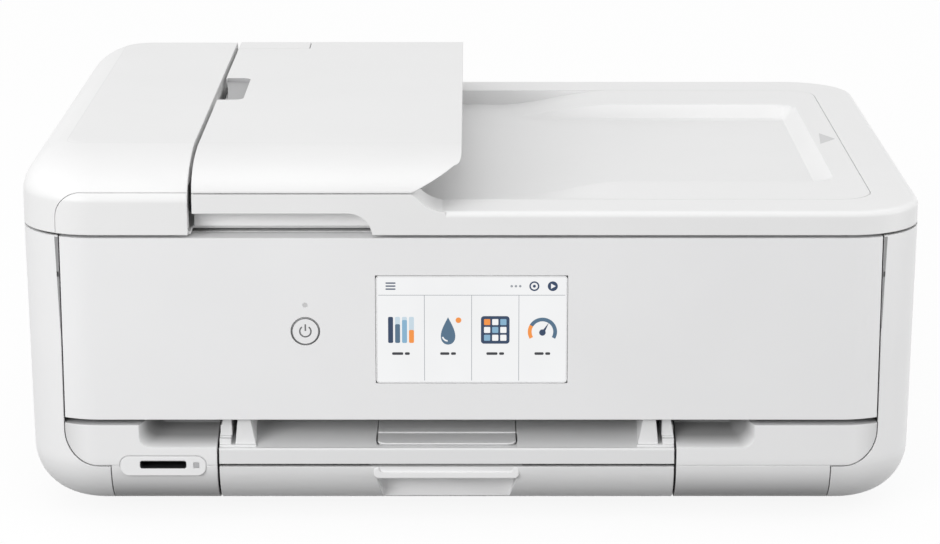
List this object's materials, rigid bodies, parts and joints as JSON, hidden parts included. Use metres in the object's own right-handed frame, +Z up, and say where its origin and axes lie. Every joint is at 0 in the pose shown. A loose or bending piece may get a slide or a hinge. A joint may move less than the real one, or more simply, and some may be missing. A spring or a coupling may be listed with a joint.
{
  "type": "inkjet printer",
  "caption": "White desktop inkjet printer with touch display, flatbed scanner, document feeder on top, output tray and paper cassette.",
  "frame": {"origin": "middle of the footprint, on the surface that the feet stand on", "axes": "+X to the right seen from the front, +Y to the back, +Z up; the front faces -Y"},
  "size_m": [0.469, 0.366, 0.193],
  "materials": {
    "housing_white": "fine satin moulded white",
    "panel_white": "smooth satin white",
    "lid_white": "fine satin moulded white",
    "tray_grey": "light grey moulded",
    "inner_grey": "mid grey moulded",
    "dark_plastic": "black moulded",
    "steel": "zinc plated sheet",
    "rubber": "matt",
    "roller_rubber": "ground",
    "clear_glass": "polished",
    "display_glass": "touch surface, lit",
    "lamp": "milky light pipe",
    "board_green": "circuit board",
    "pad_white": "soft white foil on foam",
    "tank_dark": "smoked plastic"
  },
  "bodies": {
    "chassis": {"left_side_cover": "housing_white", "right_side_cover": "housing_white", "front_left_cover": "housing_white", "front_right_cover": "housing_white", "rear_cover": "housing_white", "base_pan": "tray_grey", "feet": "rubber", "side_frames": "steel", "paper_deck": "steel", "platen": "dark_plastic", "carriage_rail": "steel", "drive_belts": "rubber", "drive_motors": "steel", "main_board": "board_green", "power_supply": "dark_plastic", "rear_sockets": "dark_plastic", "ink_absorber": "inner_grey", "cap_station": "inner_grey", "card_reader": "dark_plastic", "turn_guide": "inner_grey", "pickup_arm": "inner_grey", "cover_screws": "steel"},
    "access_cover": {"rear_access_cover": "housing_white"},
    "pickup_roller": {"pickup_roller": "roller_rubber"},
    "feed_roller": {"feed_roller": "steel"},
    "eject_roller": {"eject_roller": "roller_rubber"},
    "carriage": {"ink_carriage": "dark_plastic", "print_head": "dark_plastic", "ink_tanks": "tank_dark"},
    "front_panel": {"panel_cover": "panel_white", "display_frame": "panel_white", "display_glass": "display_glass", "panel_electronics": "board_green", "status_lamp": "lamp"},
    "power_button": {"power_button": "panel_white"},
    "scanner_unit": {"scanner_tub": "tray_grey", "scanner_top": "tray_grey", "scanning_glass": "clear_glass", "scan_rail": "steel", "lid_brackets": "inner_grey"},
    "scan_head": {"scan_head": "dark_plastic"},
    "document_cover": {"cover_shell": "lid_white", "output_recess": "lid_white", "cover_base": "lid_white", "pressure_pad": "pad_white", "feeder_frame": "inner_grey", "feeder_deck": "lid_white"},
    "feeder_cover": {"feeder_cover": "lid_white", "feeder_fascia": "lid_white"},
    "document_tray": {"document_tray": "lid_white"},
    "guide_front": {"document_guide_front": "tray_grey"},
    "guide_rear": {"document_guide_rear": "tray_grey"},
    "adf_pick_roller": {"adf_pick_roller": "roller_rubber"},
    "adf_feed_roller": {"adf_feed_roller": "roller_rubber"},
    "output_tray": {"output_tray": "tray_grey"},
    "tray_extension": {"tray_extension": "tray_grey"},
    "cassette": {"cassette_tray": "housing_white"},
    "paper_guide_left": {"paper_guide_left": "inner_grey"},
    "paper_guide_right": {"paper_guide_right": "inner_grey"},
    "end_guide": {"end_guide": "inner_grey"}
  },
  "joints": [
    {"name": "access_cover_hinge", "type": "hinge", "parent": "chassis", "child": "access_cover", "pos_m": [0, 0.1817, 0.0473], "axis": [-1, 0, 0], "range_deg": [0, 85]},
    {"name": "pickup_roller_spin", "type": "hinge", "parent": "chassis", "child": "pickup_roller", "pos_m": [-0.0129, 0.084, 0.0472], "axis": [1, 0, 0], "continuous": true},
    {"name": "feed_roller_spin", "type": "hinge", "parent": "chassis", "child": "feed_roller", "pos_m": [0, 0.042, 0.06], "axis": [1, 0, 0], "continuous": true},
    {"name": "eject_roller_spin", "type": "hinge", "parent": "chassis", "child": "eject_roller", "pos_m": [0, -0.026, 0.059], "axis": [1, 0, 0], "continuous": true},
    {"name": "carriage_slide", "type": "slide", "parent": "chassis", "child": "carriage", "axis": [1, 0, 0], "range_m": [-0.268, 0]},
    {"name": "front_panel_tilt", "type": "hinge", "parent": "chassis", "child": "front_panel", "pos_m": [0, -0.18, 0.15025], "axis": [-1, 0, 0], "range_deg": [0, 45]},
    {"name": "power_button_press", "type": "slide", "parent": "front_panel", "child": "power_button", "axis": [0, 1, 0], "range_m": [0, 0.0008], "stiffness_N_per_m": 900, "springref_m": -0.0012},
    {"name": "scanner_unit_lift", "type": "hinge", "parent": "chassis", "child": "scanner_unit", "pos_m": [0, 0.1765, 0.1445], "axis": [-1, 0, 0], "range_deg": [0, 40]},
    {"name": "scan_head_slide", "type": "slide", "parent": "scanner_unit", "child": "scan_head", "axis": [1, 0, 0], "range_m": [0, 0.262]},
    {"name": "document_cover_lift", "type": "hinge", "parent": "scanner_unit", "child": "document_cover", "pos_m": [0, 0.1765, 0.1603], "axis": [-1, 0, 0], "range_deg": [0, 75]},
    {"name": "feeder_cover_open", "type": "hinge", "parent": "document_cover", "child": "feeder_cover", "pos_m": [-0.23, 0, 0.1663], "axis": [0, -1, 0], "range_deg": [0, 65]},
    {"name": "document_tray_flip", "type": "hinge", "parent": "document_cover", "child": "document_tray", "pos_m": [-0.0125, 0, 0.1855], "axis": [0, 1, 0], "range_deg": [0, 160]},
    {"name": "guide_front_slide", "type": "slide", "parent": "document_cover", "child": "guide_front", "axis": [0, 1, 0], "range_m": [0, 0.04]},
    {"name": "guide_rear_slide", "type": "slide", "parent": "document_cover", "child": "guide_rear", "axis": [0, -1, 0], "range_m": [0, 0.04]},
    {"name": "adf_feed_roller_spin", "type": "hinge", "parent": "document_cover", "child": "adf_feed_roller", "pos_m": [-0.1833, 0, 0.173], "axis": [0, 1, 0], "continuous": true},
    {"name": "adf_pick_roller_spin", "type": "hinge", "parent": "document_cover", "child": "adf_pick_roller", "pos_m": [-0.1573, 0, 0.176], "axis": [0, 1, 0], "continuous": true},
    {"name": "output_tray_slide", "type": "slide", "parent": "chassis", "child": "output_tray", "axis": [0, -1, 0], "range_m": [0, 0.11]},
    {"name": "tray_extension_slide", "type": "slide", "parent": "output_tray", "child": "tray_extension", "axis": [0, -1, 0], "range_m": [0, 0.09]},
    {"name": "cassette_slide", "type": "slide", "parent": "chassis", "child": "cassette", "axis": [0, -1, 0], "range_m": [0, 0.16]},
    {"name": "paper_guide_left_slide", "type": "slide", "parent": "cassette", "child": "paper_guide_left", "axis": [1, 0, 0], "range_m": [0, 0.035]},
    {"name": "paper_guide_right_slide", "type": "slide", "parent": "cassette", "child": "paper_guide_right", "axis": [-1, 0, 0], "range_m": [0, 0.035]},
    {"name": "end_guide_slide", "type": "slide", "parent": "cassette", "child": "end_guide", "axis": [0, 1, 0], "range_m": [0, 0.06]}
  ],
  "couplings": [
    {"joint": "eject_roller_spin", "follows": "feed_roller_spin", "ratio": 1.5455},
    {"joint": "guide_rear_slide", "follows": "guide_front_slide", "ratio": 1},
    {"joint": "adf_pick_roller_spin", "follows": "adf_feed_roller_spin", "ratio": 1.2308},
    {"joint": "paper_guide_right_slide", "follows": "paper_guide_left_slide", "ratio": 1}
  ]
}
